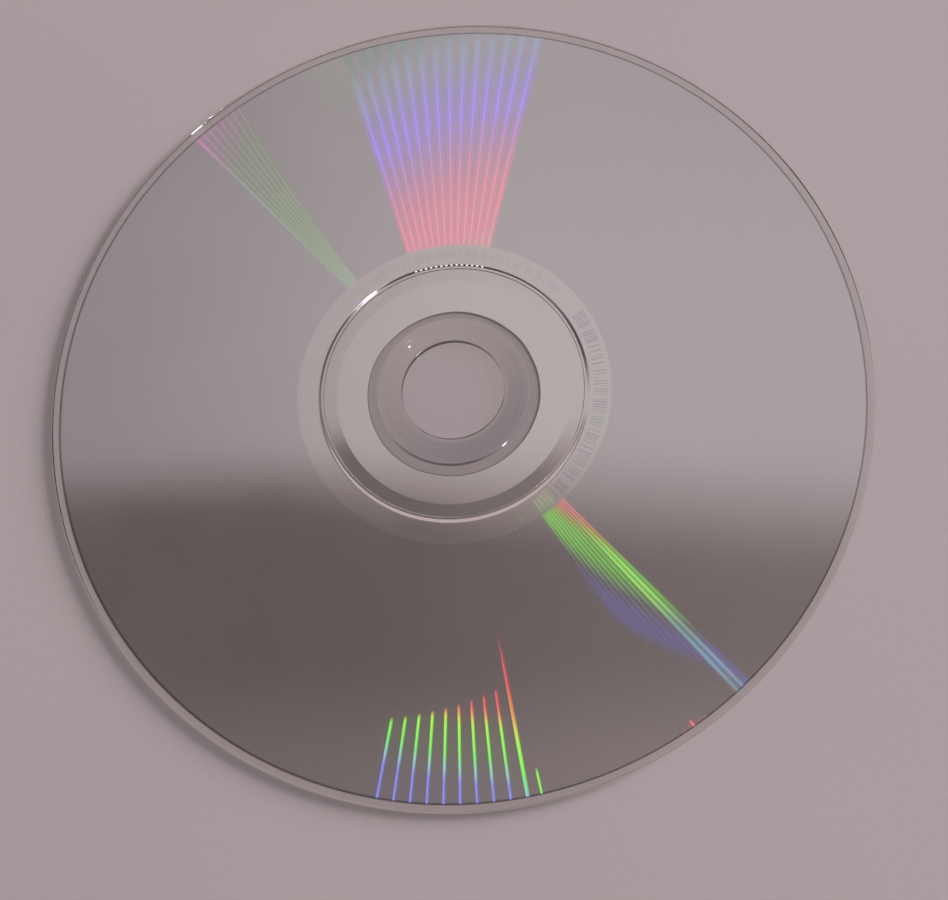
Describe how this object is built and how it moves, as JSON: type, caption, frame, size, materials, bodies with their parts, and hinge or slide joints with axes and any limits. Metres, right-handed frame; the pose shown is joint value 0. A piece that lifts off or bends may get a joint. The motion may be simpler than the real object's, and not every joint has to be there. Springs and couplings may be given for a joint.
{
  "type": "compact disc",
  "caption": "Pressed optical disc: a clear moulded plastic disc with a spindle hole, a mirror film on its underside and a white printed coat over the film.",
  "frame": {"origin": "on the axis of the centre hole, in the plane of the printed face that the disc lies on", "axes": "+Z along the hole's axis, out of the read side"},
  "size_m": [0.12, 0.12, 0.0012],
  "materials": {
    "clear_polycarbonate": "clear moulded polycarbonate, polished",
    "mirror_aluminium": "bright vacuum-deposited film",
    "white_ink": "satin screen-printed ink"
  },
  "bodies": {
    "root": {"polycarbonate_disc": "clear_polycarbonate", "aluminium_film": "mirror_aluminium", "white_print": "white_ink"}
  },
  "joints": []
}
